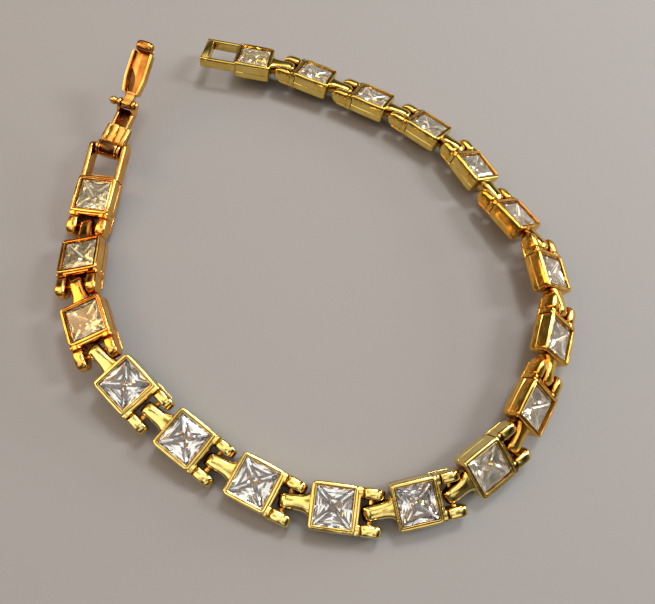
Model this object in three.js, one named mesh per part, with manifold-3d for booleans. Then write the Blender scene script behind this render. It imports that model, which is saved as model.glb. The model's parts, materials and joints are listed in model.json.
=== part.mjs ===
// Square-stone bracelet with a fold-over clasp, lying open in a C. Millimetres, +Z up.
// Every link has its own frame: X along the chain towards the next link, Y to the inside of the loop, Z out
// of the stone's face, with the origin under the middle of its setting.
import * as THREE from 'three';
import { ConvexGeometry } from 'three/addons/geometries/ConvexGeometry.js';
import { mergeVertices } from 'three/addons/utils/BufferGeometryUtils.js';
import Module from 'manifold-3d';

const wasm = await Module();
wasm.setup();

// Settings
const PITCH = 9.2;
const SIDE = 5.2;
const HEIGHT = 2.4;
const CORNER = 0.5;
const EDGE = 0.15;
const FLOOR = 0.4;
const LIP_SLOPE = 0.3;
const SEAT_BASE = 1.5;
const INSET = 0.3;

// Stones
const GIRDLE = 4.2;
const GIRDLE_CORNER = 0.15;
const TABLE = 2.6;
const CROWN = 0.4;
const GIRDLE_THICK = 0.1;
const PAVILION = 1.3;
const STONE_TOP = 2.25;
const STONE_GAP = 0.1;

// Joints between the links
const PIN_X = 4.05;
const PIN_Z = 1.15;
const PIN_R = 0.3;
const KNUCKLE_R = 1.0;
const KNUCKLE_X = 4.4;
const ARM_END = 5.2;
const ARM_HEEL = 0.8;
const KNUCKLE_LEAD = 0.4;
const BAND_L = 0.35;
const BAND_TOP = 2.1;
const GROOVE_L = 0.57;
const GROOVE_TOP = 1.65;
const ARM_W = 1.3;
const SOCKET = 0.95;
const TONGUE_W = 1.4;
const TONGUE_R = 0.95;
const TONGUE_HOLE = 0.62;
const TONGUE_LOW = 0.4;
const TONGUE_TOP = 2.0;
const FLARE_W = 2.4;
const FLARE_L = 0.7;
const FLARE_LOW = 0.55;
const FLARE_TOP = 1.85;
const RUN_GAP = 0.06;

// Open frames at the two ends
const CLASP_RAIL = 0.62;
const CLASP_PIN_X = 7.0;
const CLASP_PIN_Z = 1.2;
const CLASP_PIN_R = 0.35;
const CLASP_RAIL_R = 0.95;
const CLASP_SOCKET = 0.45;
const CATCH_LENGTH = 7.5;
const CATCH_BAR = 1.15;
const CATCH_RAIL = 0.58;
const CATCH_LOW = 0.7;
const CATCH_HIGH = 2.15;
const CATCH_CORNER = 0.3;
const CATCH_EDGE = 0.12;
const CATCH_WEB = 0.1;

// Clasp base
const BARREL_R = 1.15;
const BARREL_HOLE = 0.75;
const BARREL_W = 3.2;
const BASE_LENGTH = 6.6;
const SHOULDER_W = 3.1;
const CHANNEL_W = 2.3;
const CHANNEL_WALL = 0.4;
const BASE_LOW = -0.6;
const BASE_PLATE = 0.3;
const BASE_HIGH = 0.5;
const SHOULDER_L = 3.6;
const SHOULDER_PLATE = 0.75;
const SHOULDER_RIDGE = 0.6;
const EAR_L = 1.2;
const LEVER_PIN_Z = 1.0;
const LEVER_PIN_R = 0.28;
const EAR_R = 0.65;
const KNOB_R = 0.56;
const HEAD_R = 0.5;
const HEAD_THICK = 0.3;
const HEAD_OVERLAP = 0.05;
const KNOB_NECK = 0.15;

// Clasp lever
const LEVER_LENGTH = 8.0;
const LEVER_W = 2.85;
const LEVER_NECK_W = 1.2;
const LEVER_NECK_L = 1.5;
const LEVER_FULL_L = 3.4;
const LEVER_FLARE = 0.55;
const LEVER_WALL = 0.38;
const LEVER_LOW = -0.8;
const LEVER_HIGH = 0.35;
const EYE_R = 0.6;
const CURL_R = 0.8;
const CURL_INNER = 0.45;
const CURL_W = 2.5;
const CURL_MOUTH = 0.5;

// How the bracelet lies: degrees that the chain turns before each link, degrees that its face leans
// outwards, and the height in mm that the joint after it is held above its lowest place. The clasp's base
// rises, turns and leans on its loose pin, and the lever rises from the base.
const START = new THREE.Vector2(-31.75, 13.4);
const START_HEADING = -90;
const START_LIFT = 1.6;
const LAY = [
  { turn: 0, roll: 8, lift: 0.0 },
  { turn: 12, roll: 14, lift: 1.3 },
  { turn: 19, roll: 14, lift: 1.5 },
  { turn: 23, roll: 10, lift: 0.6 },
  { turn: 8, roll: 5, lift: 0.0 },
  { turn: 10, roll: 0, lift: 0.0 },
  { turn: 19, roll: 5, lift: 0.0 },
  { turn: 20, roll: 17, lift: 0.0 },
  { turn: 24, roll: 29, lift: 0.0 },
  { turn: 22, roll: 38, lift: 0.3 },
  { turn: 13, roll: 38, lift: 0.7 },
  { turn: 25, roll: 33, lift: 0.7 },
  { turn: 25, roll: 28, lift: 0.0 },
  { turn: -2, roll: 25, lift: 0.0 },
  { turn: 23, roll: 22, lift: 0.0 },
  { turn: 11, roll: 21, lift: 0.0 },
  { turn: 5, roll: 19, lift: 0.6 },
  { turn: 13, roll: 12, lift: 1.0 },
];
const BASE_RISE = -2;
const BASE_YAW = -8;
const BASE_ROLL = 10;
const LEVER_RISE = 16;

// Materials
const gold = () => new THREE.MeshStandardMaterial({ color: 0xd9a441, roughness: 0.18, metalness: 1 });
const glass = () => new THREE.MeshStandardMaterial({ color: 0xf3efe6, roughness: 0.03, metalness: 0 });

// Solids
function solid(geometry) {
  const bare = geometry.index ? geometry.toNonIndexed() : geometry.clone();
  bare.deleteAttribute('normal');
  bare.deleteAttribute('uv');
  const merged = mergeVertices(bare, 1e-5);
  return new wasm.Manifold(new wasm.Mesh({
    numProp: 3,
    vertProperties: Float32Array.from(merged.attributes.position.array),
    triVerts: Uint32Array.from(merged.index.array),
  }));
}

function geometryOf(manifold) {
  const mesh = manifold.getMesh();
  const geometry = new THREE.BufferGeometry();
  geometry.setAttribute('position', new THREE.BufferAttribute(mesh.vertProperties, 3));
  geometry.setIndex(new THREE.BufferAttribute(mesh.triVerts, 1));
  return geometry;
}

function box(x0, x1, y0, y1, z0, z1) {
  const geometry = new THREE.BoxGeometry(x1 - x0, y1 - y0, z1 - z0);
  geometry.translate((x0 + x1) / 2, (y0 + y1) / 2, (z0 + z1) / 2);
  return solid(geometry);
}

// A square taper about Z, with its side at the bottom and at the top
function taper(low, high, z0, z1) {
  const geometry = new THREE.CylinderGeometry(high * Math.SQRT1_2, low * Math.SQRT1_2, z1 - z0, 4);
  geometry.rotateY(Math.PI / 4);
  geometry.rotateX(Math.PI / 2);
  geometry.translate(0, 0, (z0 + z1) / 2);
  return solid(geometry);
}

// A rod along Y
function rod(x, z, radius, y0, y1, sides = 10) {
  const geometry = new THREE.CylinderGeometry(radius, radius, y1 - y0, sides);
  geometry.translate(x, (y0 + y1) / 2, z);
  return solid(geometry);
}

// A plan outline raised along Z, with an optional chamfer on both faces
function raised(shape, z0, z1, chamfer = 0) {
  const geometry = new THREE.ExtrudeGeometry(shape, {
    depth: z1 - z0 - 2 * chamfer,
    curveSegments: 2,
    bevelEnabled: chamfer > 0,
    bevelSize: chamfer,
    bevelThickness: chamfer,
    bevelOffset: -chamfer,
    bevelSegments: 1,
  });
  geometry.translate(0, 0, z0 + chamfer);
  return solid(geometry);
}

// A side outline drawn in X and Z, as wide as y0 to y1
function profiled(shape, y0, y1, curveSegments = 4) {
  const geometry = new THREE.ExtrudeGeometry(shape, { depth: y1 - y0, curveSegments, bevelEnabled: false });
  geometry.rotateX(Math.PI / 2);
  geometry.translate(0, y1, 0);
  return solid(geometry);
}

function roundedRect(x0, x1, y0, y1, r) {
  const shape = new THREE.Shape();
  shape.moveTo(x0 + r, y0);
  shape.lineTo(x1 - r, y0);
  shape.absarc(x1 - r, y0 + r, r, -Math.PI / 2, 0);
  shape.lineTo(x1, y1 - r);
  shape.absarc(x1 - r, y1 - r, r, 0, Math.PI / 2);
  shape.lineTo(x0 + r, y1);
  shape.absarc(x0 + r, y1 - r, r, Math.PI / 2, Math.PI);
  shape.lineTo(x0, y0 + r);
  shape.absarc(x0 + r, y0 + r, r, Math.PI, 1.5 * Math.PI);
  return shape;
}

function polygon(points) {
  return new THREE.Shape(points.map(([x, y]) => new THREE.Vector2(x, y)));
}

function join(first, ...others) {
  return others.reduce((sum, next) => sum.add(next), first);
}

// The square cup that holds a stone, with a rounded lip and a seat that follows the stone's back
function setting() {
  const half = SIDE / 2;
  const well = GIRDLE + 2 * STONE_GAP;
  const girdleLow = STONE_TOP - CROWN - GIRDLE_THICK;
  return raised(roundedRect(-half, half, -half, half, CORNER), 0, HEIGHT, EDGE)
    .subtract(taper(SEAT_BASE, well, FLOOR, girdleLow))
    .subtract(taper(well, well, girdleLow - 0.01, HEIGHT + 1))
    .subtract(taper(well, well + 2 * LIP_SLOPE, HEIGHT - LIP_SLOPE, HEIGHT + 0.01));
}

// One fork arm: a thin band at the setting, a groove, and a knuckle that reaches well past the pin
function arm(y0, y1) {
  const root = SIDE / 2 - INSET;
  const bandEnd = SIDE / 2 + BAND_L;
  const low = PIN_Z - KNUCKLE_R;
  const shape = new THREE.Shape();
  shape.moveTo(root, low);
  shape.lineTo(ARM_END - ARM_HEEL, low);
  shape.lineTo(ARM_END, low + ARM_HEEL);
  shape.absellipse(KNUCKLE_X, PIN_Z, ARM_END - KNUCKLE_X, KNUCKLE_R, 0, Math.PI / 2);
  shape.lineTo(PIN_X - KNUCKLE_LEAD, PIN_Z + KNUCKLE_R);
  shape.lineTo(SIDE / 2 + GROOVE_L, GROOVE_TOP);
  shape.lineTo(bandEnd, BAND_TOP);
  shape.lineTo(root, BAND_TOP);
  return profiled(shape, y0, y1);
}

function fork() {
  const inner = SIDE / 2 - ARM_W;
  const arms = join(arm(inner, SIDE / 2), arm(-SIDE / 2, -inner));
  return arms.subtract(rod(PIN_X, PIN_Z, PIN_R + RUN_GAP, -inner - SOCKET, inner + SOCKET, 8));
}

// The tongue at the other end, flared where it leaves the setting
function tongue() {
  const eye = PIN_X - PITCH;
  const root = -SIDE / 2 + INSET;
  const shape = new THREE.Shape();
  shape.moveTo(root, TONGUE_LOW);
  shape.lineTo(root, TONGUE_TOP);
  shape.absarc(eye, PIN_Z, TONGUE_R, 0.35 * Math.PI, 1.65 * Math.PI);
  const half = TONGUE_W / 2;
  const flare = raised(polygon([
    [root, -FLARE_W / 2],
    [root, FLARE_W / 2],
    [-SIDE / 2, FLARE_W / 2],
    [-SIDE / 2 - FLARE_L, half],
    [-SIDE / 2 - FLARE_L, -half],
    [-SIDE / 2, -FLARE_W / 2],
  ]), FLARE_LOW, FLARE_TOP);
  return join(profiled(shape, -half, half), flare)
    .subtract(rod(eye, PIN_Z, TONGUE_HOLE, -TONGUE_W, TONGUE_W, 10));
}

// Link 1 ends in two rails that hold the clasp's pin
function claspFrame() {
  const root = -SIDE / 2 + INSET;
  const rail = (y0, y1) => {
    const shape = new THREE.Shape();
    shape.moveTo(root, TONGUE_TOP);
    shape.absarc(-CLASP_PIN_X, CLASP_PIN_Z, CLASP_RAIL_R, 0.36 * Math.PI, 1.64 * Math.PI);
    shape.lineTo(root, TONGUE_LOW);
    return profiled(shape, y0, y1);
  };
  const outer = SIDE / 2;
  const inner = outer - CLASP_RAIL;
  const reach = inner + CLASP_SOCKET;
  const sockets = rod(-CLASP_PIN_X, CLASP_PIN_Z, CLASP_PIN_R + RUN_GAP, -reach, reach, 8);
  return join(rail(inner, outer), rail(-outer, -inner)).subtract(sockets);
}

// Link 18 ends in a closed frame that the clasp goes through
function catchFrame() {
  const outer = SIDE / 2;
  const root = outer - INSET;
  const inner = outer - CATCH_RAIL;
  const hole = box(outer + CATCH_WEB, CATCH_LENGTH - CATCH_BAR, -inner, inner, 0, HEIGHT);
  const plan = roundedRect(root, CATCH_LENGTH, -outer, outer, CATCH_CORNER);
  return raised(plan, CATCH_LOW, CATCH_HIGH, CATCH_EDGE).subtract(hole);
}

// A square-cut stone as the convex body of its corners
function stoneGeometry() {
  const corners = (reach, cut, z) => [1, -1].flatMap((sx) => [1, -1].flatMap((sy) => [
    new THREE.Vector3(sx * reach, sy * (reach - cut), z),
    new THREE.Vector3(sx * (reach - cut), sy * reach, z),
  ]));
  const crownBase = STONE_TOP - CROWN;
  const girdleBase = crownBase - GIRDLE_THICK;
  const ridge = 0.3 * GIRDLE;
  const points = [
    ...corners(TABLE / 2, 0, STONE_TOP),
    ...corners(GIRDLE / 2, GIRDLE_CORNER, crownBase),
    ...corners(GIRDLE / 2, GIRDLE_CORNER, girdleBase),
    ...corners(ridge, ridge / 2, girdleBase - 0.62 * PAVILION),
    new THREE.Vector3(0, 0, girdleBase - PAVILION),
  ];
  return geometryOf(solid(new ConvexGeometry(points)));
}

function pinGeometry(radius, half) {
  return new THREE.CylinderGeometry(radius, radius, 2 * half, 8);
}

// The clasp's base, with its barrel's axis at the origin and X pointing away from link 1
function claspBase() {
  const ear = (y0, y1) => {
    const shape = new THREE.Shape();
    shape.moveTo(BASE_LENGTH - EAR_L, BASE_LOW);
    shape.lineTo(BASE_LENGTH, BASE_LOW);
    shape.lineTo(BASE_LENGTH + EAR_R, LEVER_PIN_Z);
    shape.absarc(BASE_LENGTH, LEVER_PIN_Z, EAR_R, 0, 0.75 * Math.PI);
    shape.lineTo(BASE_LENGTH - EAR_L, BASE_HIGH);
    return profiled(shape, y0, y1);
  };
  const half = CHANNEL_W / 2;
  const wallIn = half - CHANNEL_WALL;
  const shoulder = SHOULDER_W / 2;
  const ridgeIn = shoulder - SHOULDER_RIDGE;
  const low = BASE_LOW;
  const start = 0.7 * BARREL_R;
  const overlap = SHOULDER_L - INSET;
  const end = BASE_LENGTH - EAR_L + INSET;
  const body = join(
    rod(0, 0, BARREL_R, -BARREL_W / 2, BARREL_W / 2, 12),
    box(start, SHOULDER_L, -shoulder, shoulder, low, low + SHOULDER_PLATE),
    box(start, SHOULDER_L, ridgeIn, shoulder, low, BASE_HIGH),
    box(start, SHOULDER_L, -shoulder, -ridgeIn, low, BASE_HIGH),
    box(overlap, end, -half, half, low, low + BASE_PLATE),
    box(overlap, end, wallIn, half, low, BASE_HIGH),
    box(overlap, end, -half, -wallIn, low, BASE_HIGH),
    ear(wallIn, half),
    ear(-half, -wallIn),
  );
  return body
    .subtract(rod(0, 0, BARREL_HOLE, -BARREL_W, BARREL_W, 12))
    .subtract(rod(BASE_LENGTH, LEVER_PIN_Z, LEVER_PIN_R + RUN_GAP, -BARREL_W, BARREL_W, 8));
}

// The pin that the lever turns on, with a domed knob at its outer end
function leverPin() {
  const half = CHANNEL_W / 2;
  const knob = new THREE.SphereGeometry(KNOB_R, 10, 6);
  knob.translate(0, half + KNOB_NECK + KNOB_R, 0);
  const headIn = -half - 2 * HEAD_OVERLAP;
  const head = rod(0, 0, HEAD_R, headIn - HEAD_THICK, headIn, 10);
  return join(rod(0, 0, LEVER_PIN_R, headIn - HEAD_OVERLAP, half + KNOB_R, 8), solid(knob), head);
}

// The lever, a tapering channel seen from its hollow side, with a curled tip that snaps shut
function claspLever() {
  const half = LEVER_W / 2;
  const neck = LEVER_NECK_W / 2;
  const end = LEVER_LENGTH - CURL_R;
  const tip = LEVER_LENGTH;
  const curlZ = LEVER_LOW + CURL_R;
  const outline = (trim) => polygon([
    [LEVER_NECK_L, -(neck + LEVER_FLARE) + trim],
    [LEVER_FULL_L, -half + trim],
    [end, -half + trim],
    [end, half - trim],
    [LEVER_FULL_L, half - trim],
    [LEVER_NECK_L, neck + LEVER_FLARE - trim],
  ]);
  const trough = raised(outline(LEVER_WALL), LEVER_LOW + LEVER_WALL, 2 * LEVER_HIGH);
  const mouth = box(tip - 2 * CURL_R, tip - CURL_MOUTH, -CURL_W, CURL_W, curlZ, curlZ + 2 * CURL_R);
  const ring = rod(tip, curlZ, CURL_R, -CURL_W / 2, CURL_W / 2, 14)
    .subtract(rod(tip, curlZ, CURL_INNER, -CURL_W, CURL_W, 10))
    .subtract(mouth);
  return join(
    rod(0, 0, EYE_R, -neck, neck, 10),
    box(LEVER_PIN_R, LEVER_NECK_L + INSET, -neck, neck, LEVER_LOW, 0),
    raised(outline(0), LEVER_LOW, LEVER_HIGH).subtract(trough),
    box(end - INSET, tip - CURL_INNER, -CURL_W / 2, CURL_W / 2, LEVER_LOW, LEVER_LOW + LEVER_WALL),
    ring,
  ).subtract(rod(0, 0, LEVER_PIN_R + 1.5 * RUN_GAP, -LEVER_W, LEVER_W, 10));
}

// The chain walked joint by joint: each link is a group in the place that the lay table gives it
function layChain() {
  const rad = THREE.MathUtils.degToRad;
  const rest = LAY.map(({ roll }) => (SIDE / 2) * Math.sin(rad(roll)) + PIN_Z * Math.cos(rad(roll)));
  const heights = LAY.map(({ lift }, i) => (rest[i] + rest[Math.min(i + 1, LAY.length - 1)]) / 2 + lift);
  const groups = [];
  const pin = new THREE.Vector3(START.x, START.y, rest[0] + START_LIFT);
  let heading = START_HEADING;
  LAY.forEach(({ turn, roll }, i) => {
    heading += turn;
    const rise = heights[i] - pin.z;
    const run = Math.sqrt(PITCH ** 2 - rise ** 2);
    const next = new THREE.Vector3(Math.cos(rad(heading)) * run, Math.sin(rad(heading)) * run, rise).add(pin);
    const x = next.clone().sub(pin).normalize();
    const y = new THREE.Vector3(0, 0, 1).cross(x).normalize().applyAxisAngle(x, rad(roll));
    const z = x.clone().cross(y);
    const group = new THREE.Group();
    group.quaternion.setFromRotationMatrix(new THREE.Matrix4().makeBasis(x, y, z));
    group.position.copy(next).addScaledVector(x, -PIN_X).addScaledVector(z, -PIN_Z);
    groups.push(group);
    pin.copy(next);
  });
  return groups;
}

function addPiece(parent, name, geometry, material) {
  const mesh = new THREE.Mesh(geometry, material);
  mesh.name = name;
  parent.add(mesh);
  return mesh;
}

function buildClasp(firstLink) {
  const pin = addPiece(firstLink, 'clasp_pin', pinGeometry(CLASP_PIN_R, SIDE / 2 - CLASP_RAIL + 0.4), gold());
  pin.position.set(-CLASP_PIN_X, 0, CLASP_PIN_Z);
  const hinge = new THREE.Group();
  hinge.position.copy(pin.position);
  hinge.rotation.set(0, THREE.MathUtils.degToRad(-BASE_RISE), Math.PI, 'ZYX');
  firstLink.add(hinge);
  const base = new THREE.Group();
  base.rotation.set(THREE.MathUtils.degToRad(BASE_ROLL), 0, THREE.MathUtils.degToRad(BASE_YAW), 'ZYX');
  hinge.add(base);
  addPiece(base, 'clasp_base', geometryOf(claspBase()), gold());
  const leverHinge = new THREE.Group();
  leverHinge.position.set(BASE_LENGTH, 0, LEVER_PIN_Z);
  base.add(leverHinge);
  addPiece(leverHinge, 'lever_pin', geometryOf(leverPin()), gold());
  const lever = addPiece(leverHinge, 'clasp_lever', geometryOf(claspLever()), gold());
  lever.rotation.y = THREE.MathUtils.degToRad(-LEVER_RISE);
}

function buildBracelet() {
  const bracelet = new THREE.Group();
  const groups = layChain();
  const last = groups.length - 1;
  const stone = stoneGeometry();
  const pin = pinGeometry(PIN_R, SIDE / 2 - ARM_W + SOCKET - RUN_GAP);
  const link = join(setting(), tongue(), fork());
  const links = groups.map(() => geometryOf(link));
  links[0] = geometryOf(join(setting(), claspFrame(), fork()));
  links[last] = geometryOf(join(setting(), tongue(), catchFrame()));
  groups.forEach((group, i) => {
    const number = String(i + 1).padStart(2, '0');
    addPiece(group, `link_${number}`, links[i], gold());
    addPiece(group, `stone_${number}`, stone, glass());
    if (i < last) {
      addPiece(group, `pin_${number}`, pin, gold()).position.set(PIN_X, 0, PIN_Z);
    }
    bracelet.add(group);
  });
  buildClasp(groups[0]);
  const bounds = new THREE.Box3().setFromObject(bracelet, true);
  const centre = bounds.getCenter(new THREE.Vector3());
  bracelet.position.set(-centre.x, -centre.y, -bounds.min.z);
  return bracelet;
}

export default buildBracelet();
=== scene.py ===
# Tennis bracelet: polished gold-plated links, square-cut stones and a fold-over clasp, around the packed
# solids. Sizes are in millimetres in each link's own frame: X along the chain, Y to the inside of the loop,
# Z out of the stone's face. They become metres when a mesh is made.
import json
import math

import bmesh
import bpy
from mathutils import Matrix, Vector

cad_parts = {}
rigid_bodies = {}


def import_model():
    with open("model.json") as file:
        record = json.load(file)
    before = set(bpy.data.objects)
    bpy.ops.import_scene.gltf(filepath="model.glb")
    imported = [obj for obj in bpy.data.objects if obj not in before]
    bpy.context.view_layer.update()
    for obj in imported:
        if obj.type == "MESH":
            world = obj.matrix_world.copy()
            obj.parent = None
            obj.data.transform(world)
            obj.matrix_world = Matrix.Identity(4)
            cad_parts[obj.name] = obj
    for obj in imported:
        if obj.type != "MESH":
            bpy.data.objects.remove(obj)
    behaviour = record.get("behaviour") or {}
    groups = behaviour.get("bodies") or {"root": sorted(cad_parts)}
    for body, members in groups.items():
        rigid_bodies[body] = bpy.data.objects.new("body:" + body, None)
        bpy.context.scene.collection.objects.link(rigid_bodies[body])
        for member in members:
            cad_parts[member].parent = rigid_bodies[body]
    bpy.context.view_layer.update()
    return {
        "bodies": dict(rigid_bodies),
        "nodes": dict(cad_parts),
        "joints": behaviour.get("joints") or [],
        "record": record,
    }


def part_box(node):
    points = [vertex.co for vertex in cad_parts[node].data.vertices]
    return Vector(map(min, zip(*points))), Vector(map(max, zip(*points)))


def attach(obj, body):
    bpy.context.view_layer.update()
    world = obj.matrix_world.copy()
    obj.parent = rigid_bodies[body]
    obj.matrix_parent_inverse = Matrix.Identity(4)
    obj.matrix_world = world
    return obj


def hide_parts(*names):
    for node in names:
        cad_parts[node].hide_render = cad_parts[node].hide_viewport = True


MM = 0.001

# Settings
PITCH = 9.2
SIDE = 5.2
CORNER = 0.5

# Stones
GIRDLE = 4.2
STONE_TOP = 2.28
STONE_TABLE = 3.0
CROWN_BREAK = 3.7
CROWN_BREAK_Z = 2.17
CROWN_BASE_Z = 1.95
GIRDLE_THICK = 0.08
CULET_Z = 0.2
STONE_GAP = 0.04
TABLE_CUT = 0.12
GIRDLE_CUT = 0.16

# Chevrons of the stone's back: place out from the middle, and depth, as shares of its reach and depth
CHEVRONS = ((0.74, 0.34), (0.44, 0.68), (0.20, 0.88))

# Joints between the links
PIN_X = 4.05
PIN_Z = 1.15
KNUCKLE_R = 1.0
KNUCKLE_X = 4.4
ARM_END = 5.5
ARM_W = 1.3
TONGUE_R = 0.95
TONGUE_W = 1.75

# Angles in degrees at which the sections of a rounded end are set
ARM_ANGLES = (20, 38, 54, 68, 78, 85)
END_ANGLES = (22, 42, 58, 72, 83)

# Frames at the two ends
CLASP_RAIL = 0.62
CLASP_PIN_X = 7.0
CLASP_PIN_Z = 1.2
CLASP_RAIL_R = 0.95
CATCH_LENGTH = 7.5
CATCH_BAR = 1.15
CATCH_RAIL = 0.58
CATCH_LOW = 0.7
CATCH_HIGH = 2.15

# Clasp
BARREL_R = 1.15
BARREL_HOLE = 0.75
BARREL_W = 3.2
BASE_LENGTH = 6.6
SHOULDER_L = 3.6
SHOULDER_W = 3.1
SHOULDER_RIDGE = 0.6
CHANNEL_W = 2.3
CHANNEL_WALL = 0.4
BASE_LOW = -0.6
BASE_PLATE = 0.3
BASE_HIGH = 0.5
LEVER_PIN_Z = 1.0
LEVER_PIN_R = 0.28
EAR_R = 0.65
KNOB_R = 0.56
LEVER_LENGTH = 8.0
LEVER_W = 2.85
LEVER_NECK_W = 1.2
LEVER_WALL = 0.38
LEVER_LOW = -0.8
LEVER_HIGH = 0.35
EYE_R = 0.6
CURL_R = 0.8
CURL_W = 2.2

# Sections of the curled tip: place across it and radius, as shares of its half-width and its radius
CURL_ROWS = ((-1, 0.45), (-0.93, 0.72), (-0.78, 0.88), (-0.5, 0.97), (0, 1),
             (0.5, 0.97), (0.78, 0.88), (0.93, 0.72), (1, 0.45))

# How the bracelet lies, as in the solids: turn before each link, outward lean, lift of the joint after it
START = (-31.75, 13.4)
START_HEADING = -90
START_LIFT = 1.6
LAY = [
    (0, 8, 0.0), (12, 14, 1.3), (19, 14, 1.5), (23, 10, 0.6), (8, 5, 0.0), (10, 0, 0.0),
    (19, 5, 0.0), (20, 17, 0.0), (24, 29, 0.0), (22, 38, 0.3), (13, 38, 0.7), (25, 33, 0.7),
    (25, 28, 0.0), (-2, 25, 0.0), (23, 22, 0.0), (11, 21, 0.0), (5, 19, 0.6), (13, 12, 1.0),
]
BASE_RISE = -2
BASE_YAW = -8
BASE_ROLL = 10
LEVER_RISE = 16

# Camera: elevation and roll in degrees, distance in mm, focal length in mm on a 36 mm sensor
CAMERA_ELEVATION = 65.6
CAMERA_ROLL = 9.3
CAMERA_DISTANCE = 80.4
CAMERA_FOCAL = 34.6
CAMERA_TARGET = (1.602, -5.03, 0.049)

# Points round a rounded section
RING = 28

# Gold plate: lighter colour, deeper colour, roughness. The four are one gold, tinted after what each
# stretch of the chain reflects: painted reflection
GOLDS = {
    "warm": ((0.87, 0.51, 0.13), (0.77, 0.32, 0.055), 0.13),
    "pale": ((0.87, 0.71, 0.27), (0.74, 0.56, 0.16), 0.13),
    "rich": ((0.84, 0.54, 0.12), (0.72, 0.37, 0.055), 0.13),
    "deep": ((0.82, 0.62, 0.17), (0.68, 0.46, 0.09), 0.13),
}
# Painted shade: an orange-brown gold laid on the lever's trough floor and its curled tip
PAINTED_SHADE_GOLD = ((0.62, 0.25, 0.05), (0.40, 0.13, 0.02), 0.2)
# Painted shadow: a near-black gold for sheets laid where the clasp lies in shadow, and for a dark
# reflection on the barrel
PAINTED_SHADOW_GOLD = ((0.18, 0.075, 0.025), (0.09, 0.035, 0.012), 0.22)

# Painted shade on the gold by how open the surface is, and how far off a neighbour darkens it, in metres
PAINTED_CORNER_SHADE = [(0.15, (0.20, 0.08, 0.015)), (0.5, (0.62, 0.42, 0.20)), (0.8, (1, 1, 1))]
CORNER_REACH = 0.0012

# Stones: the clear part, and the mirrored backs as colour and how metallic they are
CLEAR_STONE = (0.98, 0.98, 0.97)
STONE_IOR = 1.6
FOILS = {
    "white": ((0.93, 0.94, 0.96), 0.85),
    "warm": ((0.98, 0.92, 0.72), 0.74),
    "cream": ((0.99, 0.96, 0.89), 0.74),
    "peach": ((0.99, 0.93, 0.86), 0.74),
}

# Gold tint (a painted reflection) and mirrored back of each link in order along the chain
PAINTED_REFLECTION_TONES = ["warm"] * 3 + ["pale"] * 6 + ["rich"] * 4 + ["deep"] * 5
KINDS = ["warm"] * 3 + ["white"] * 5 + ["cream"] * 2 + ["peach"] * 3 + ["cream"] * 4 + ["warm"]

# Lamps, aimed at the origin: name, place and size in metres, power in watts, colour
LAMPS = [
    ("key", (0.06, 0.20, 0.36), (0.10, 0.08), 0.8, (1.0, 0.98, 0.93)),
    ("side", (0.30, 0.10, 0.26), (0.08, 0.10), 0.8, (1.0, 0.97, 0.92)),
    ("low", (0.40, 0.20, 0.13), (0.24, 0.12), 1.2, (1.0, 0.97, 0.90)),
    ("warm", (-0.34, 0.02, 0.22), (0.12, 0.30), 0.7, (1.0, 0.52, 0.2)),
]

# Sky: soft patches, how its light grows with height, and the heights between which the patches come in
SKY_PATCHES = [(0.45, (0.05, 0.04, 0.03)), (0.52, (1.0, 0.97, 0.92))]
SKY_RISE = [(0.05, (0.09, 0.08, 0.07)), (0.48, (0.14, 0.12, 0.10)), (0.80, (1.75, 1.7, 1.6))]
PATCHES_START = 0.12
PATCHES_FULL = 0.4

# Floor: half its side in metres, and its colour
FLOOR_REACH = 5
FLOOR_COLOUR = (0.24, 0.24, 0.25)


# Materials
def node(tree, kind, inputs=None, **settings):
    made = tree.nodes.new(kind)
    for name, value in settings.items():
        setattr(made, name, value)
    for name, value in (inputs or {}).items():
        made.inputs[name].default_value = value
    return made


def ramp(tree, source, stops):
    made = tree.nodes.new("ShaderNodeValToRGB")
    elements = made.color_ramp.elements
    while len(elements) < len(stops):
        elements.new(0.5)
    for element, (place, colour) in zip(elements, stops):
        element.position = place
        element.color = (*colour, 1)
    tree.links.new(source, made.inputs["Fac"])
    return made.outputs["Color"]


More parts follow.
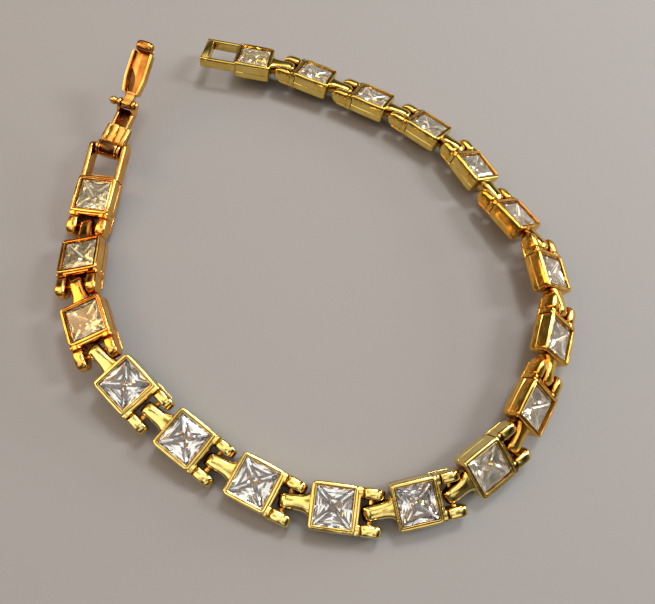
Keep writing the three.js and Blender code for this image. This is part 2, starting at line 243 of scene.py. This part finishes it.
def gold_material(name, light, deep, roughness):
    """Polished plate: painted shade in the corners, uneven polish, fine scratches and a slight waviness."""
    material = bpy.data.materials.new(name)
    material.use_nodes = True
    tree = material.node_tree
    shader = tree.nodes["Principled BSDF"]
    place = node(tree, "ShaderNodeTexCoord").outputs["Object"]
    cloud = node(tree, "ShaderNodeTexNoise", {"Scale": 420, "Detail": 4, "Roughness": 0.6})
    tree.links.new(place, cloud.inputs["Vector"])
    corner = node(tree, "ShaderNodeAmbientOcclusion", {"Distance": CORNER_REACH}, samples=8)
    tint = ramp(tree, cloud.outputs["Fac"], [(0.35, deep), (0.62, light)])
    # painted shade: the colour darkens to brown where neighbours close in
    shade = ramp(tree, corner.outputs["AO"], PAINTED_CORNER_SHADE)
    mix = node(tree, "ShaderNodeMix", data_type="RGBA", blend_type="MULTIPLY")
    mix.inputs["Factor"].default_value = 1
    tree.links.new(tint, mix.inputs["A"])
    tree.links.new(shade, mix.inputs["B"])
    tree.links.new(mix.outputs["Result"], shader.inputs["Base Color"])
    smear = node(tree, "ShaderNodeTexNoise", {"Scale": 900, "Detail": 6, "Roughness": 0.7})
    tree.links.new(place, smear.inputs["Vector"])
    polish = node(tree, "ShaderNodeMapRange", {"From Min": 0.3, "From Max": 0.75,
                                               "To Min": roughness - 0.05, "To Max": roughness + 0.12})
    tree.links.new(smear.outputs["Fac"], polish.inputs["Value"])
    tree.links.new(polish.outputs["Result"], shader.inputs["Roughness"])
    stretch = node(tree, "ShaderNodeMapping", {"Scale": (600, 9000, 2500), "Rotation": (0.3, 0.2, 0.5)})
    tree.links.new(place, stretch.inputs["Vector"])
    scratch = node(tree, "ShaderNodeTexNoise", {"Scale": 1, "Detail": 2})
    tree.links.new(stretch.outputs["Vector"], scratch.inputs["Vector"])
    wave = node(tree, "ShaderNodeTexNoise", {"Scale": 700, "Detail": 1.5})
    tree.links.new(place, wave.inputs["Vector"])
    fine = node(tree, "ShaderNodeBump", {"Strength": 0.05, "Distance": 0.00003})
    tree.links.new(scratch.outputs["Fac"], fine.inputs["Height"])
    soft = node(tree, "ShaderNodeBump", {"Strength": 0.35, "Distance": 0.00012})
    tree.links.new(wave.outputs["Fac"], soft.inputs["Height"])
    tree.links.new(fine.outputs["Normal"], soft.inputs["Normal"])
    tree.links.new(soft.outputs["Normal"], shader.inputs["Normal"])
    shader.inputs["Metallic"].default_value = 1
    return material


def stone_material(name, tint):
    """Clear polished stone."""
    material = bpy.data.materials.new(name)
    material.use_nodes = True
    tree = material.node_tree
    shader = tree.nodes["Principled BSDF"]
    place = node(tree, "ShaderNodeTexCoord").outputs["Object"]
    film = node(tree, "ShaderNodeTexNoise", {"Scale": 1500, "Detail": 5})
    tree.links.new(place, film.inputs["Vector"])
    haze = node(tree, "ShaderNodeMapRange",
                {"From Min": 0.45, "From Max": 0.8, "To Min": 0.0, "To Max": 0.06})
    tree.links.new(film.outputs["Fac"], haze.inputs["Value"])
    tree.links.new(haze.outputs["Result"], shader.inputs["Roughness"])
    shader.inputs["Base Color"].default_value = (*tint, 1)
    shader.inputs["Transmission Weight"].default_value = 1
    shader.inputs["IOR"].default_value = STONE_IOR
    return material


def foil_material(name, tint, metallic):
    """The mirrored back of a stone."""
    material = bpy.data.materials.new(name)
    material.use_nodes = True
    tree = material.node_tree
    shader = tree.nodes["Principled BSDF"]
    place = node(tree, "ShaderNodeTexCoord").outputs["Object"]
    cloud = node(tree, "ShaderNodeTexNoise", {"Scale": 600, "Detail": 3})
    tree.links.new(place, cloud.inputs["Vector"])
    dull = tuple(0.8 * part for part in tint)
    colour = ramp(tree, cloud.outputs["Fac"], [(0.3, dull), (0.6, tint)])
    tree.links.new(colour, shader.inputs["Base Color"])
    shader.inputs["Metallic"].default_value = metallic
    shader.inputs["Roughness"].default_value = 0.05
    return material


# Meshes
def mesh_of(name, shapes, materials, angle=38):
    """One mesh of closed shapes in mm, each (points, faces) or (points, faces, material indices)."""
    points, faces, slots = [], [], []
    for shape in shapes:
        start = len(points)
        points += [Vector(p) * MM for p in shape[0]]
        faces += [[i + start for i in face] for face in shape[1]]
        slots += shape[2] if len(shape) > 2 else [0] * len(shape[1])
    mesh = bpy.data.meshes.new(name)
    mesh.from_pydata(points, [], faces)
    for material in materials:
        mesh.materials.append(material)
    mesh.polygons.foreach_set("material_index", slots)
    work = bmesh.new()
    work.from_mesh(mesh)
    bmesh.ops.recalc_face_normals(work, faces=work.faces)
    work.to_mesh(mesh)
    work.free()
    if angle:
        mesh.polygons.foreach_set("use_smooth", [True] * len(mesh.polygons))
        mesh.set_sharp_from_angle(angle=math.radians(angle))
    return mesh


def loft(rings):
    """A closed body through rings of equally many points."""
    count = len(rings[0])
    points = [p for ring in rings for p in ring]
    faces = []
    for row in range(len(rings) - 1):
        a = row * count
        for i in range(count):
            j = (i + 1) % count
            faces.append([a + i, a + j, a + count + j, a + count + i])
    faces.append(list(range(count))[::-1])
    faces.append([(len(rings) - 1) * count + i for i in range(count)])
    return points, faces


def square_ring(half, corner, z, bulge=0.0, steps=5, straight=4):
    """A rounded square at height z, its sides bowed out a little."""
    ring = []
    reach = half - corner
    for quarter in range(4):
        turn = Matrix.Rotation(quarter * math.pi / 2, 2)
        side = [2 * i / straight - 1 for i in range(1, straight)]
        flat = [(half + bulge * (1 - t * t), t * reach) for t in side]
        angles = [math.pi / 2 * i / steps for i in range(steps + 1)]
        bend = [(reach + corner * math.cos(a), reach + corner * math.sin(a)) for a in angles]
        ring += [(*(turn @ Vector(p)), z) for p in flat + bend]
    return ring


def section_ring(axis, along, centre, half, low, high, power, count=RING):
    """A superellipse across an axis: centre and half-width beside it, low and high in Z."""
    ring = []
    for i in range(count):
        a = 2 * math.pi * i / count
        c, s = math.cos(a), math.sin(a)
        u = centre + half * math.copysign(abs(c) ** (2 / power), c)
        v = (low + high) / 2 + (high - low) / 2 * math.copysign(abs(s) ** (2 / power), s)
        ring.append((along, u, v) if axis == "x" else (u, along, v))
    return ring


def bar(axis, rows, power):
    """A body along an axis from rows of (along, centre, half-width, low, high)."""
    return loft([section_ring(axis, *row, power) for row in rows])


def slab(outline, y0, y1, bevel=0.1, segments=3):
    """A side outline in X and Z, as wide as y0 to y1, with its rims rounded."""
    work = bmesh.new()
    first = [work.verts.new((x, y0, z)) for x, z in outline]
    second = [work.verts.new((x, y1, z)) for x, z in outline]
    rims = [work.faces.new(first), work.faces.new(second[::-1])]
    for i in range(len(outline)):
        j = (i + 1) % len(outline)
        work.faces.new([first[j], first[i], second[i], second[j]])
    edges = {edge for face in rims for edge in face.edges}
    bmesh.ops.bevel(work, geom=list(edges), offset=bevel, segments=segments, profile=0.5,
                    affect="EDGES", clamp_overlap=True)
    work.verts.index_update()
    points = [tuple(v.co) for v in work.verts]
    faces = [[v.index for v in face.verts] for face in work.faces]
    work.free()
    return points, faces


def arc(cx, cz, radius, start, end, steps=12):
    """Points on an arc, angles in degrees."""
    angles = [math.radians(start + (end - start) * i / steps) for i in range(steps + 1)]
    return [(cx + radius * math.cos(a), cz + radius * math.sin(a)) for a in angles]


def block(x0, x1, y0, y1, z0, z1, bevel=0.1):
    return slab([(x0, z0), (x1, z0), (x1, z1), (x0, z1)], y0, y1, bevel)


def turned(profile, cx, cz, count=32):
    """A ring or a solid turned about an axis along Y from a closed profile of (radius, y)."""
    points = []
    for i in range(count):
        a = 2 * math.pi * i / count
        points += [(cx + r * math.cos(a), y, cz + r * math.sin(a)) for r, y in profile]
    size = len(profile)
    faces = []
    for i in range(count):
        a, b = i * size, (i + 1) % count * size
        for k in range(size):
            j = (k + 1) % size
            faces.append([a + k, a + j, b + j, b + k])
    return points, faces


def circle(cx, y, cz, radius, count=24):
    """A round ring of points about an axis along Y."""
    angles = [2 * math.pi * i / count for i in range(count)]
    return [(cx + radius * math.cos(a), y, cz + radius * math.sin(a)) for a in angles]


def domed_rod(cx, cz, radius, y0, y1, dome):
    """A round rod along Y with domed ends."""
    rows = [(math.cos(a), math.sin(a)) for a in (math.radians(90 * i / 5) for i in range(5))]
    rings = [(y0 + dome * (1 - s), radius * c) for c, s in reversed(rows)]
    rings += [(y1 - dome * (1 - s), radius * c) for c, s in rows]
    return loft([circle(cx, y, cz, r) for y, r in rings])


def ball(cx, cy, cz, radius, rows=14):
    angles = [math.pi * k / rows for k in range(1, rows)]
    return loft([circle(cx, cy - radius * math.cos(a), cz, radius * math.sin(a)) for a in angles])


# Links
def setting_shape():
    """Rows of (inset, height) up the outside, over the rounded lip and its groove, down to the seat."""
    rows = [
        (0.40, 0.00), (0.20, 0.02), (0.07, 0.09), (0.01, 0.22), (0.00, 0.40),
        (0.00, 0.92), (0.04, 0.97), (0.04, 1.03), (0.00, 1.08),
        (0.00, 1.85), (0.01, 2.12), (0.04, 2.25), (0.10, 2.34), (0.18, 2.38), (0.32, 2.385),
        (0.35, 2.35), (0.36, 2.20), (0.42, 2.20), (0.43, 2.32),
        (0.46, 2.35), (0.50, 2.34), (0.52, 2.24), (0.53, 2.10), (0.54, 1.80), (2.30, 0.12),
    ]
    half = SIDE / 2
    return loft([square_ring(half - inset, max(CORNER - inset * 0.9, 0.06), z, 0.04 if inset < 0.3 else 0.0)
                 for inset, z in rows])


def arm_shape(side):
    """A fork arm: a thin band, a groove and a round-ended knuckle past the pin, with a thin foot below."""
    centre = side * (SIDE / 2 - ARM_W / 2)
    half = ARM_W / 2 + 0.02
    low = PIN_Z - KNUCKLE_R
    top = PIN_Z + KNUCKLE_R
    rows = [(2.40, centre, half, low, 2.28), (2.94, centre, half, low, 2.26),
            (3.00, centre, half - 0.02, low, 2.18), (3.05, centre, half - 0.09, low + 0.04, 1.80),
            (3.15, centre, half - 0.09, low + 0.04, 1.78), (3.21, centre, half - 0.02, low, 2.02),
            (3.30, centre, half, low, top - 0.03), (3.45, centre, half, low, top),
            (KNUCKLE_X, centre, half, low, top)]
    for degrees in ARM_ANGLES:
        a = math.radians(degrees)
        rise = KNUCKLE_R * math.cos(a) ** 0.8
        along = KNUCKLE_X + (ARM_END - KNUCKLE_X) * math.sin(a)
        rows.append((along, centre, half * math.cos(a) ** 0.4, PIN_Z - rise, PIN_Z + rise))
    foot_y = sorted((side * (SIDE / 2 - ARM_W + 0.05), side * (SIDE / 2 + 0.04)))
    foot = block(2.2, KNUCKLE_X + 0.1, foot_y[0], foot_y[1], low - 0.02, low + 0.26, 0.1)
    return [bar("x", rows, 4.5), foot]


def fork_shapes():
    """Both arms, and the bar that joins them at the setting."""
    web = bar("y", [(-2.58, 2.66, 0.14, 0.45, 2.1), (-2.5, 2.66, 0.26, 0.32, 2.26),
                    (2.5, 2.66, 0.26, 0.32, 2.26), (2.58, 2.66, 0.14, 0.45, 2.1)], 3.5)
    return [*arm_shape(1), *arm_shape(-1), web]


def tongue_shape():
    """The tongue: a flared root, a round-topped shank and a round eye."""
    eye = PIN_X - PITCH
    half = TONGUE_W / 2
    rows = [(-2.40, 0, 1.46, 0.35, 2.06), (-2.62, 0, 1.36, 0.37, 2.06), (-2.82, 0, 1.18, 0.38, 2.06),
            (-3.05, 0, 1.04, 0.38, 2.06), (-3.35, 0, 0.96, 0.37, 2.06), (-3.7, 0, half + 0.03, 0.35, 2.07),
            (-4.3, 0, half, 0.26, 2.09), (eye, 0, half, PIN_Z - TONGUE_R, PIN_Z + TONGUE_R)]
    for degrees in END_ANGLES:
        a = math.radians(degrees)
        rise = TONGUE_R * math.cos(a)
        along = eye - TONGUE_R * math.sin(a)
        rows.append((along, 0, half * math.cos(a) ** 0.3, PIN_Z - rise, PIN_Z + rise))
    return bar("x", rows, 3.4)


def clasp_frame_shapes():
    """Two open rails at the first link, for the clasp's pin."""
    shapes = []
    half = CLASP_RAIL / 2
    for side in (1, -1):
        centre = side * (SIDE / 2 - half)
        rows = [(-2.4, centre, half, 0.35, 2.04), (-4.5, centre, half, 0.33, 2.06),
                (-6.6, centre, half, 0.28, 2.12),
                (-CLASP_PIN_X, centre, half, CLASP_PIN_Z - CLASP_RAIL_R, CLASP_PIN_Z + CLASP_RAIL_R)]
        for degrees in END_ANGLES:
            a = math.radians(degrees)
            rise = CLASP_RAIL_R * math.cos(a)
            rows.append((-CLASP_PIN_X - CLASP_RAIL_R * math.sin(a), centre, half * math.cos(a) ** 0.25,
                         CLASP_PIN_Z - rise, CLASP_PIN_Z + rise))
        shapes.append(bar("x", rows, 4.5))
    shapes.append(block(-2.85, -2.4, -2.1, 2.1, 0.4, 1.9, 0.12))
    return shapes


def catch_frame_shapes():
    """The closed frame at the last link."""
    outer = SIDE / 2
    half = CATCH_RAIL / 2
    low, high = CATCH_LOW, CATCH_HIGH
    shapes = []
    for side in (1, -1):
        centre = side * (outer - half)
        shapes.append(bar("x", [(2.4, centre, half, low, high),
                                (CATCH_LENGTH - 0.14, centre, half, low, high),
                                (CATCH_LENGTH - 0.04, centre, half - 0.04, low + 0.05, high - 0.05),
                                (CATCH_LENGTH, centre, half - 0.12, low + 0.14, high - 0.14)], 4.5))
    middle = CATCH_LENGTH - CATCH_BAR / 2
    half = CATCH_BAR / 2
    shapes.append(bar("y", [(-outer, middle, half - 0.14, low + 0.14, high - 0.14),
                            (-outer + 0.04, middle, half - 0.04, low + 0.05, high - 0.05),
                            (-outer + 0.14, middle, half, low, high),
                            (outer - 0.14, middle, half, low, high),
                            (outer - 0.04, middle, half - 0.04, low + 0.05, high - 0.05),
                            (outer, middle, half - 0.14, low + 0.14, high - 0.14)], 4.5))
    shapes.append(block(2.4, 2.7, -2.3, 2.3, low, high, 0.1))
    return shapes


# Stones
def stone_shape():
    """Crown and girdle are clear, the pavilion behind them is mirrored (material 1)."""
    reach = GIRDLE / 2 - STONE_GAP
    top = CROWN_BASE_Z - GIRDLE_THICK
    tiers = [(STONE_TABLE / 2, TABLE_CUT, STONE_TOP), (CROWN_BREAK / 2, GIRDLE_CUT, CROWN_BREAK_Z),
             (reach, GIRDLE_CUT, CROWN_BASE_Z), (reach, GIRDLE_CUT, top)]
    points = []
    for half, cut, z in tiers:
        for sx, sy in ((1, 1), (-1, 1), (-1, -1), (1, -1)):
            pair = [(sx * half, sy * (half - cut), z), (sx * (half - cut), sy * half, z)]
            points += pair if sx == sy else pair[::-1]
    faces = [list(range(8))]
    for row in range(len(tiers) - 1):
        a = row * 8
        faces += [[a + i, a + (i + 1) % 8, a + 8 + (i + 1) % 8, a + 8 + i] for i in range(8)]
    clear = len(faces)
    depth = top - CULET_Z
    girdle = 8 * (len(tiers) - 1)
    chevrons = []
    for part, deep in CHEVRONS:
        row = []
        for k in range(4):
            p = Matrix.Rotation(k * math.pi / 2, 2) @ Vector((reach * part, 0))
            row.append(len(points))
            points.append((p.x, p.y, top - depth * deep))
        chevrons.append(row)
    culet = len(points)
    points.append((0, 0, CULET_Z))
    for k in range(4):
        # side k lies between the second girdle point of corner k - 1 and the first of corner k
        before, after = girdle + (2 * k - 1) % 8, girdle + 2 * k
        steps = [row[k] for row in chevrons] + [culet]
        faces.append([before, after, steps[0]])
        for near, far in zip(steps, steps[1:]):
            faces.append([before, near, far])
            faces.append([after, far, near])
        faces.append([girdle + 2 * k, girdle + 2 * k + 1, culet])
    return points, faces, [0] * clear + [1] * (len(faces) - clear)


# Clasp
def clasp_base_shapes():
    """Barrel, ridged shoulder, channel with a lining of painted shadow, and the ears for the lever's pin.
    """
    half = CHANNEL_W / 2
    wall_in = half - CHANNEL_WALL
    shoulder = SHOULDER_W / 2
    low = BASE_LOW
    end = BARREL_W / 2
    rim = [(BARREL_HOLE, end - 0.08), (BARREL_HOLE + 0.08, end), (BARREL_R - 0.25, end),
           (BARREL_R - 0.14, end - 0.06), (BARREL_R - 0.1, end - 0.16), (BARREL_R - 0.1, end - 0.28),
           (BARREL_R - 0.26, end - 0.34), (BARREL_R - 0.26, end - 0.42), (BARREL_R - 0.06, end - 0.48),
           (BARREL_R, end - 0.6)]
    profile = rim + [(radius, -y) for radius, y in reversed(rim)]
    points, faces = turned(profile, 0, 0)
    outer = len(rim) - 1
    # painted reflection: one stretch round the barrel is darker than the rest, in the painted shadow gold
    front = range(6 * len(profile), 13 * len(profile))
    slots = [2 if i in front and i % len(profile) == outer else 0 for i in range(len(faces))]
    shapes = [(points, faces, slots), block(0.75, SHOULDER_L, -shoulder, shoulder, low, low + 0.75, 0.12),
              block(1.0, SHOULDER_L - 0.05, 0.0, shoulder - 0.2, low, BASE_HIGH - 0.02, 0.14)]
    ear = [(BASE_LENGTH - 1.2, low), (BASE_LENGTH, low), *arc(BASE_LENGTH, LEVER_PIN_Z, EAR_R, 0, 150),
           (BASE_LENGTH - 1.2, BASE_HIGH)]
    for side in (1, -1):
        y = sorted((side * (shoulder - SHOULDER_RIDGE), side * shoulder))
        ridge = [(0.72, low), (SHOULDER_L, low), (SHOULDER_L, BASE_HIGH - 0.2),
                 (SHOULDER_L - 0.2, BASE_HIGH), (1.6, BASE_HIGH + 0.05), (0.85, BASE_HIGH - 0.05)]
        shapes.append(slab(ridge, *y, 0.2, 4))
        y = sorted((side * wall_in, side * half))
        shapes.append(block(SHOULDER_L - 0.3, BASE_LENGTH - 0.9, *y, low, BASE_HIGH, 0.12))
        shapes.append(slab(ear, *y, 0.12))
    shapes.append(block(SHOULDER_L - 0.3, BASE_LENGTH - 0.1, -half, half, low, low + BASE_PLATE, 0.08))
    floor_z = low + BASE_PLATE
    # painted shadow: a near-black sheet laid just over the channel's floor
    shade_liner = block(SHOULDER_L - 0.1, BASE_LENGTH - 0.15, -wall_in, wall_in,
                  floor_z - 0.1, floor_z + 0.02, 0.01)
    return [*shapes, shaded(shade_liner, 2)]


def shaded(shape, slot):
    """The same shape in another of its mesh's materials."""
    points, faces = shape
    return points, faces, [slot] * len(faces)


def lever_pin_shapes():
    """The lever's pin, with a round knob at one end and a flat head at the other."""
    half = CHANNEL_W / 2
    head = -half - 0.1
    return [domed_rod(0, 0, LEVER_PIN_R, head, half + KNOB_R, 0.02),
            ball(0, half + 0.15 + KNOB_R, 0, KNOB_R),
            domed_rod(0, 0, 0.5, head - 0.3, head, 0.15)]


def trough_ring(x, half):
    """A U section: outside up one wall, over its rounded rim, along the floor and back."""
    wall = LEVER_WALL
    low, high = LEVER_LOW, LEVER_HIGH
    floor = low + wall
    side = [(half - 0.22, low), (half - 0.07, low + 0.06), (half, low + 0.2), (half, high - 0.14),
            (half - 0.05, high - 0.03), (half - wall / 2, high), (half - wall + 0.05, high - 0.03),
            (half - wall, high - 0.14), (half - wall, floor + 0.14), (half - wall - 0.05, floor + 0.03),
            (half - wall - 0.16, floor)]
    ring = [(x, y, z) for y, z in side]
    return ring + [(x, -y, z) for y, z in reversed(side)]


def clasp_lever_shapes():
    """The lever: a trough that widens from a narrow neck, its eye, linings of painted shade and a rounded
    tip.
    """
    neck = LEVER_NECK_W / 2
    end = LEVER_LENGTH - CURL_R
    full = LEVER_W / 2
    rows = [(1.46, neck + 0.40), (1.56, neck + 0.52), (2.4, neck + 0.66), (3.0, full - 0.08), (3.5, full),
            (5.8, full), (end - 0.12, full - 0.02), (end, full - 0.1)]
    trough = loft([trough_ring(x, half) for x, half in rows])
    curl_z = LEVER_LOW + CURL_R
    curl_rows = []
    for across, share in CURL_ROWS:
        radius = share * CURL_R
        curl_rows.append((across * CURL_W / 2, LEVER_LENGTH, radius, curl_z - radius, curl_z + radius))
    curl = bar("y", curl_rows, 2.2)
    eye = [*arc(0, 0, EYE_R, 75, 285, 18), (0.45, LEVER_LOW + 0.02), (1.75, LEVER_LOW),
           (1.75, -0.1), (0.6, 0.1)]
    tip = block(end - 0.3, LEVER_LENGTH - 0.1, -CURL_W / 2, CURL_W / 2,
                LEVER_LOW, LEVER_LOW + LEVER_WALL - 0.03, 0.1)
    floor_z = LEVER_LOW + LEVER_WALL
    reach = full - LEVER_WALL
    low, high = floor_z - 0.1, floor_z + 0.03
    # painted shade: an orange-brown sheet just over the trough's floor, and a near-black patch of painted
    # shadow on it
    shade_liner = bar("x", [(1.75, -0.25, 0.4, low, high), (3.4, -0.42, reach - 0.42, low, high),
                      (end - 0.1, -0.42, reach - 0.42, low, high)], 8)
    shadow_patch = bar("x", [(1.75, 0.3, 0.35, low, high), (3.2, 0.5, reach - 0.5, low, high),
                       (4.0, 0.66, reach - 0.66, low, high), (4.9, reach - 0.08, 0.08, low, high)], 8)
    # the curled tip takes the orange-brown painted shade gold, standing in for a dark reflection
    return [trough, slab(eye, -neck, neck, 0.12), tip, shaded(shade_liner, 1), shaded(shadow_patch, 2), shaded(curl, 1)]


# Places
def rot(degrees, axis):
    return Matrix.Rotation(math.radians(degrees), 4, axis)


def link_frames():
    """Each link's matrix in mm, walked joint by joint as in the solids, not yet shifted to their frame."""
    rolls = [math.radians(roll) for _, roll, _ in LAY]
    rest = [SIDE / 2 * math.sin(r) + PIN_Z * math.cos(r) for r in rolls]
    last = len(LAY) - 1
    frames, pins = [], []
    pin = Vector((*START, rest[0] + START_LIFT))
    heading = START_HEADING
    for i, (turn, _, lift) in enumerate(LAY):
        heading += turn
        rise = (rest[i] + rest[min(i + 1, last)]) / 2 + lift - pin.z
        run = math.sqrt(PITCH ** 2 - rise ** 2)
        a = math.radians(heading)
        after = pin + Vector((run * math.cos(a), run * math.sin(a), rise))
        x = (after - pin).normalized()
        y = Matrix.Rotation(rolls[i], 3, x) @ Vector((0, 0, 1)).cross(x).normalized()
        z = x.cross(y)
        origin = after - PIN_X * x - PIN_Z * z
        frame = Matrix((x, y, z)).transposed().to_4x4()
        frames.append(Matrix.Translation(origin) @ frame)
        pins.append(after)
        pin = after
    return frames, pins


def metres(matrix, shift):
    moved = Matrix.Translation(shift) @ matrix
    moved.translation = moved.translation * MM
    return moved


def place(name, mesh, matrix, body, node_name, slot):
    piece = bpy.data.objects.new(name, mesh)
    bpy.context.scene.collection.objects.link(piece)
    piece.matrix_world = matrix
    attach(piece, body)
    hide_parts(node_name)
    return piece


def build_links(frames, shift, golds):
    """Every link with its stone. The first and last have their end frames, the others one mesh a tone."""
    clear = stone_material("stone_clear", CLEAR_STONE)
    foils = {kind: foil_material(f"foil_{kind}", *look) for kind, look in FOILS.items()}
    cup, tongue, fork = setting_shape(), tongue_shape(), fork_shapes()
    last = len(frames) - 1
    ends = {
        0: mesh_of("link_first", [cup, *clasp_frame_shapes(), *fork], [golds[PAINTED_REFLECTION_TONES[0]]]),
        last: mesh_of("link_last", [cup, tongue, *catch_frame_shapes()], [golds[PAINTED_REFLECTION_TONES[last]]]),
    }
    middles = {tone: mesh_of(f"link_{tone}", [cup, tongue, *fork], [gold]) for tone, gold in golds.items()}
    stones = {kind: mesh_of(f"stone_{kind}", [stone_shape()], [clear, foil], angle=0)
              for kind, foil in foils.items()}
    for i, matrix in enumerate(frames):
        number = f"{i + 1:02d}"
        spot = metres(matrix, shift)
        link = ends.get(i, middles[PAINTED_REFLECTION_TONES[i]])
        place(f"gold_link_{number}", link, spot, "chain", f"link_{number}", "gold")
        place(f"cut_stone_{number}", stones[KINDS[i]], spot, "chain", f"stone_{number}", "stone")


def build_clasp(first, shift, gold):
    """The clasp's base, pin and lever, standing out from the first link."""
    # painted shade and painted shadow golds for the clasp's floors, barrel and tip
    painted_shade = gold_material("gold_painted_shade", *PAINTED_SHADE_GOLD)
    painted_shadow = gold_material("gold_painted_shadow", *PAINTED_SHADOW_GOLD)
    base = first @ Matrix.Translation((-CLASP_PIN_X, 0, CLASP_PIN_Z))
    base = base @ rot(180, "Z") @ rot(-BASE_RISE, "Y") @ rot(BASE_YAW, "Z") @ rot(BASE_ROLL, "X")
    hinge = base @ Matrix.Translation((BASE_LENGTH, 0, LEVER_PIN_Z))
    lever = hinge @ rot(-LEVER_RISE, "Y")
    for name, shapes, matrix, body, node_name in (
            ("clasp_channel", clasp_base_shapes(), base, "clasp_base", "clasp_base"),
            ("clasp_knob_pin", lever_pin_shapes(), hinge, "clasp_base", "lever_pin"),
            ("clasp_curled_lever", clasp_lever_shapes(), lever, "clasp_lever", "clasp_lever")):
        mesh = mesh_of(name, shapes, [gold, painted_shade, painted_shadow])
        place(name, mesh, metres(matrix, shift), body, node_name, "gold")


def colour_pins(frame, golds):
    """Each pin takes the gold of the link that carries it."""
    for name, piece in frame["nodes"].items():
        if name.startswith("pin_") or name == "clasp_pin":
            piece.data.materials.clear()
            number = int(name[4:]) if name.startswith("pin_") else 1
            piece.data.materials.append(golds[PAINTED_REFLECTION_TONES[number - 1]])


def build_bracelet(frame):
    """All pieces, shifted so that the sixth joint lies on its solid pin."""
    golds = {tone: gold_material(f"gold_{tone}", *look) for tone, look in GOLDS.items()}
    frames, pins = link_frames()
    low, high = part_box("pin_06")
    shift = Vector([(a + b) / 2 / MM for a, b in zip(low, high)]) - pins[5]
    build_links(frames, shift, golds)
    build_clasp(frames[0], shift, golds["warm"])
    colour_pins(frame, golds)


# Surroundings
def floor():
    mesh = bpy.data.meshes.new("floor")
    reach = FLOOR_REACH
    corners = [(-reach, -reach, 0), (reach, -reach, 0), (reach, reach, 0), (-reach, reach, 0)]
    mesh.from_pydata(corners, [], [[0, 1, 2, 3]])
    piece = bpy.data.objects.new("floor", mesh)
    bpy.context.scene.collection.objects.link(piece)
    material = bpy.data.materials.new("floor")
    material.use_nodes = True
    shader = material.node_tree.nodes["Principled BSDF"]
    shader.inputs["Base Color"].default_value = (*FLOOR_COLOUR, 1)
    shader.inputs["Roughness"].default_value = 0.9
    mesh.materials.append(material)


def light(name, spot, size, power, colour):
    """A soft lamp, aimed at the origin."""
    lamp = bpy.data.lights.new(name, "AREA")
    lamp.shape = "RECTANGLE"
    lamp.size, lamp.size_y = size
    lamp.energy = power
    lamp.color = colour
    piece = bpy.data.objects.new(name, lamp)
    piece.location = spot
    piece.rotation_euler = (-Vector(spot)).to_track_quat("-Z", "Y").to_euler()
    bpy.context.scene.collection.objects.link(piece)


def sky():
    """Soft patches of light overhead that fade towards a dim horizon."""
    world = bpy.data.worlds.new("room")
    world.use_nodes = True
    tree = world.node_tree
    background = tree.nodes["Background"]
    place = node(tree, "ShaderNodeTexCoord").outputs["Generated"]
    patches = node(tree, "ShaderNodeTexNoise", {"Scale": 3.2, "Detail": 1.5, "Distortion": 0.5})
    tree.links.new(place, patches.inputs["Vector"])
    spots = ramp(tree, patches.outputs["Fac"], SKY_PATCHES)
    split = node(tree, "ShaderNodeSeparateXYZ")
    tree.links.new(place, split.inputs["Vector"])
    rise = ramp(tree, split.outputs["Z"], SKY_RISE)
    high = node(tree, "ShaderNodeMapRange", {"From Min": PATCHES_START, "From Max": PATCHES_FULL})
    tree.links.new(split.outputs["Z"], high.inputs["Value"])
    mix = node(tree, "ShaderNodeMix", data_type="RGBA", blend_type="MULTIPLY")
    tree.links.new(high.outputs["Result"], mix.inputs["Factor"])
    tree.links.new(rise, mix.inputs["A"])
    tree.links.new(spots, mix.inputs["B"])
    tree.links.new(mix.outputs["Result"], background.inputs["Color"])
    background.inputs["Strength"].default_value = 1.0
    bpy.context.scene.world = world
    bpy.context.scene.view_settings.view_transform = "Standard"


def camera():
    lens = bpy.data.cameras.new("camera")
    lens.sensor_width = 36
    lens.lens = CAMERA_FOCAL
    lens.clip_start = 0.001
    piece = bpy.data.objects.new("camera", lens)
    bpy.context.scene.collection.objects.link(piece)
    tilt = math.radians(CAMERA_ELEVATION)
    back = Vector((0, -math.cos(tilt), math.sin(tilt)))
    right = Vector((1, 0, 0))
    up = back.cross(right)
    roll = Matrix.Rotation(math.radians(CAMERA_ROLL), 3, back)
    axes = Matrix((roll @ right, roll @ up, back)).transposed().to_4x4()
    piece.matrix_world = Matrix.Translation((Vector(CAMERA_TARGET) + CAMERA_DISTANCE * back) * MM) @ axes
    bpy.context.scene.camera = piece


cad_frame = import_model()
build_bracelet(cad_frame)
floor()
sky()
for lamp_row in LAMPS:
    light(*lamp_row)
camera()
